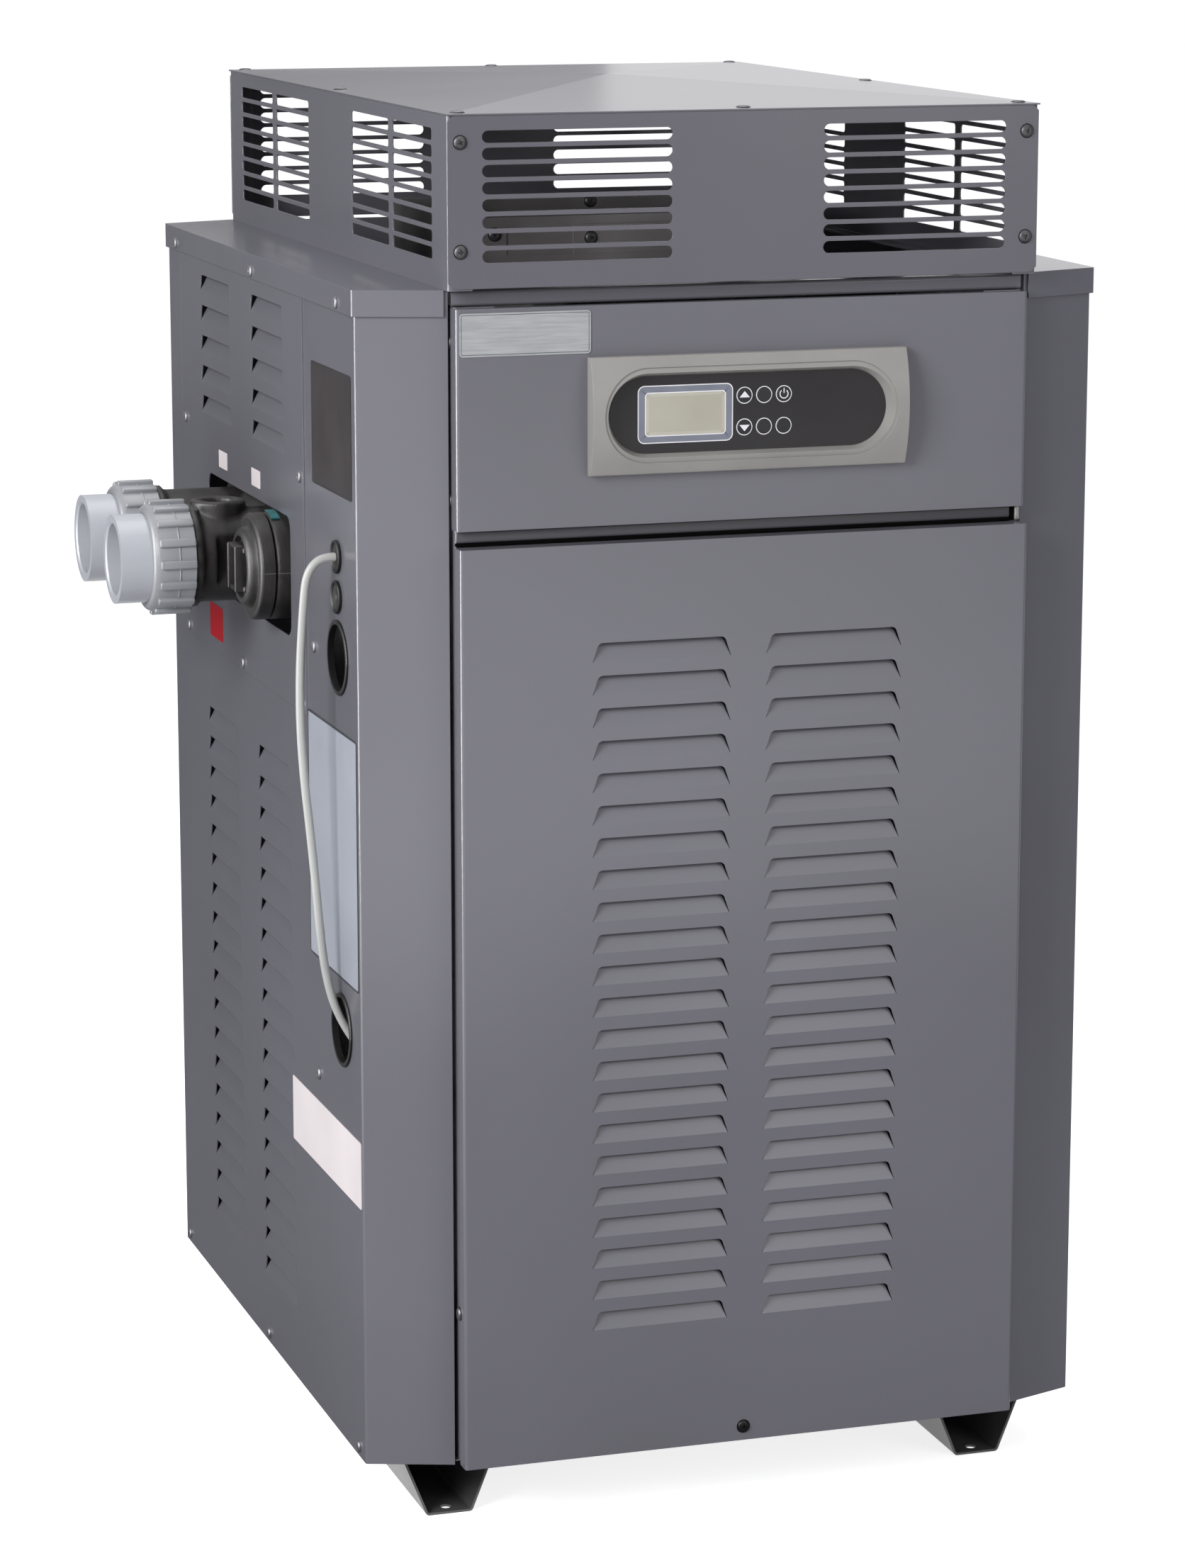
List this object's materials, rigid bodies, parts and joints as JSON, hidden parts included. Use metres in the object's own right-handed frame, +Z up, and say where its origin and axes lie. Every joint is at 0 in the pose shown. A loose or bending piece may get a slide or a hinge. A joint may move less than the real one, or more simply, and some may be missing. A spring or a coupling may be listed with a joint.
{
  "type": "pool heater",
  "caption": "Floor-standing gas pool heater: chamfered sheet-metal cabinet on channel feet, slotted draught hood, lift-off louvred door, small digital controller and side pipe unions.",
  "frame": {"origin": "on the floor, at the centre of the four anchor holes in the foot rails", "axes": "+Z up, -Y towards the front door, -X towards the pipe unions, +X to the viewer's right when facing the door"},
  "size_m": [0.7529, 0.7337, 1.1629],
  "materials": {
    "grey_paint": "satin powder coat",
    "rail_paint": "satin",
    "galvanised": "galvanised",
    "screw_steel": "plated",
    "board_fibre": "matt fibre",
    "burner_steel": "stainless",
    "pipe_steel": "black pipe",
    "valve_alloy": "die cast",
    "knob_plastic": "moulded",
    "copper": "copper",
    "black_header": "semi-gloss",
    "switch_plastic": "moulded",
    "union_plastic": "satin",
    "seal_rubber": "matt",
    "bezel_plastic": "satin metallic",
    "overlay_film": "gloss",
    "display_glass": "clear",
    "key_rubber": "satin",
    "board_green": "solder mask",
    "grommet_rubber": "satin",
    "cable_sheath": "matt"
  },
  "bodies": {
    "cabinet": {"left_foot_rail": "rail_paint", "right_foot_rail": "rail_paint", "base_pan": "grey_paint", "left_side_panel": "grey_paint", "header_access_panel": "grey_paint", "right_side_panel": "grey_paint", "rear_panel": "grey_paint", "left_post": "grey_paint", "right_post": "grey_paint", "mid_rail": "grey_paint", "front_top_rail": "grey_paint", "left_lid": "grey_paint", "right_lid": "grey_paint", "hood_front": "grey_paint", "hood_rear": "grey_paint", "hood_left": "grey_paint", "hood_right": "grey_paint", "hood_top": "grey_paint", "hood_screws": "screw_steel", "case_screws": "screw_steel", "flue_box": "galvanised", "firebox_jacket": "galvanised", "refractory_boards": "board_fibre", "burner_tray": "galvanised", "burners": "burner_steel", "gas_manifold": "pipe_steel", "gas_valve": "valve_alloy", "gas_inlet_pipe": "pipe_steel", "pilot_assembly": "burner_steel", "tube_sheets": "burner_steel", "finned_tubes": "copper", "return_header": "black_header", "inlet_outlet_header": "black_header", "header_cap": "black_header", "header_bolts": "screw_steel", "limit_switches": "switch_plastic", "union_tailpieces": "union_plastic", "union_seals": "seal_rubber", "control_panel": "grey_paint", "controller_bezel": "bezel_plastic", "controller_overlay": "overlay_film", "display_window": "display_glass", "circuit_board": "board_green", "control_box": "galvanised", "transformer": "switch_plastic", "ignition_module": "switch_plastic", "small_grommets": "grommet_rubber", "entry_grommets": "grommet_rubber", "valve_cable": "cable_sheath"},
    "front_door": {"door": "grey_paint", "door_screw": "screw_steel"},
    "inlet_nut": {"inlet_union_nut": "union_plastic"},
    "outlet_nut": {"outlet_union_nut": "union_plastic"},
    "valve_knob": {"gas_valve_knob": "knob_plastic"},
    "key_up_cap": {"key_up": "key_rubber"},
    "key_mode_cap": {"key_mode": "key_rubber"},
    "key_power_cap": {"key_power": "key_rubber"},
    "key_down_cap": {"key_down": "key_rubber"},
    "key_program_cap": {"key_program": "key_rubber"},
    "key_aux_cap": {"key_aux": "key_rubber"}
  },
  "joints": [
    {"name": "door_pull_off", "type": "slide", "parent": "cabinet", "child": "front_door", "axis": [0, -1, 0], "range_m": [0, 0.25]},
    {"name": "inlet_nut_turn", "type": "hinge", "parent": "cabinet", "child": "inlet_nut", "pos_m": [-0.39, 0.124, 0.763], "axis": [1, 0, 0], "continuous": true},
    {"name": "outlet_nut_turn", "type": "hinge", "parent": "cabinet", "child": "outlet_nut", "pos_m": [-0.39, 0, 0.763], "axis": [1, 0, 0], "continuous": true},
    {"name": "gas_knob_turn", "type": "hinge", "parent": "cabinet", "child": "valve_knob", "pos_m": [0, -0.29, 0.2175], "axis": [0, 1, 0], "range_deg": [0, 90]},
    {"name": "key_up_press", "type": "slide", "parent": "cabinet", "child": "key_up_cap", "axis": [0, 1, 0], "range_m": [0, 0.0005], "stiffness_N_per_m": 500},
    {"name": "key_mode_press", "type": "slide", "parent": "cabinet", "child": "key_mode_cap", "axis": [0, 1, 0], "range_m": [0, 0.0005], "stiffness_N_per_m": 500},
    {"name": "key_power_press", "type": "slide", "parent": "cabinet", "child": "key_power_cap", "axis": [0, 1, 0], "range_m": [0, 0.0005], "stiffness_N_per_m": 500},
    {"name": "key_down_press", "type": "slide", "parent": "cabinet", "child": "key_down_cap", "axis": [0, 1, 0], "range_m": [0, 0.0005], "stiffness_N_per_m": 500},
    {"name": "key_program_press", "type": "slide", "parent": "cabinet", "child": "key_program_cap", "axis": [0, 1, 0], "range_m": [0, 0.0005], "stiffness_N_per_m": 500},
    {"name": "key_aux_press", "type": "slide", "parent": "cabinet", "child": "key_aux_cap", "axis": [0, 1, 0], "range_m": [0, 0.0005], "stiffness_N_per_m": 500}
  ]
}
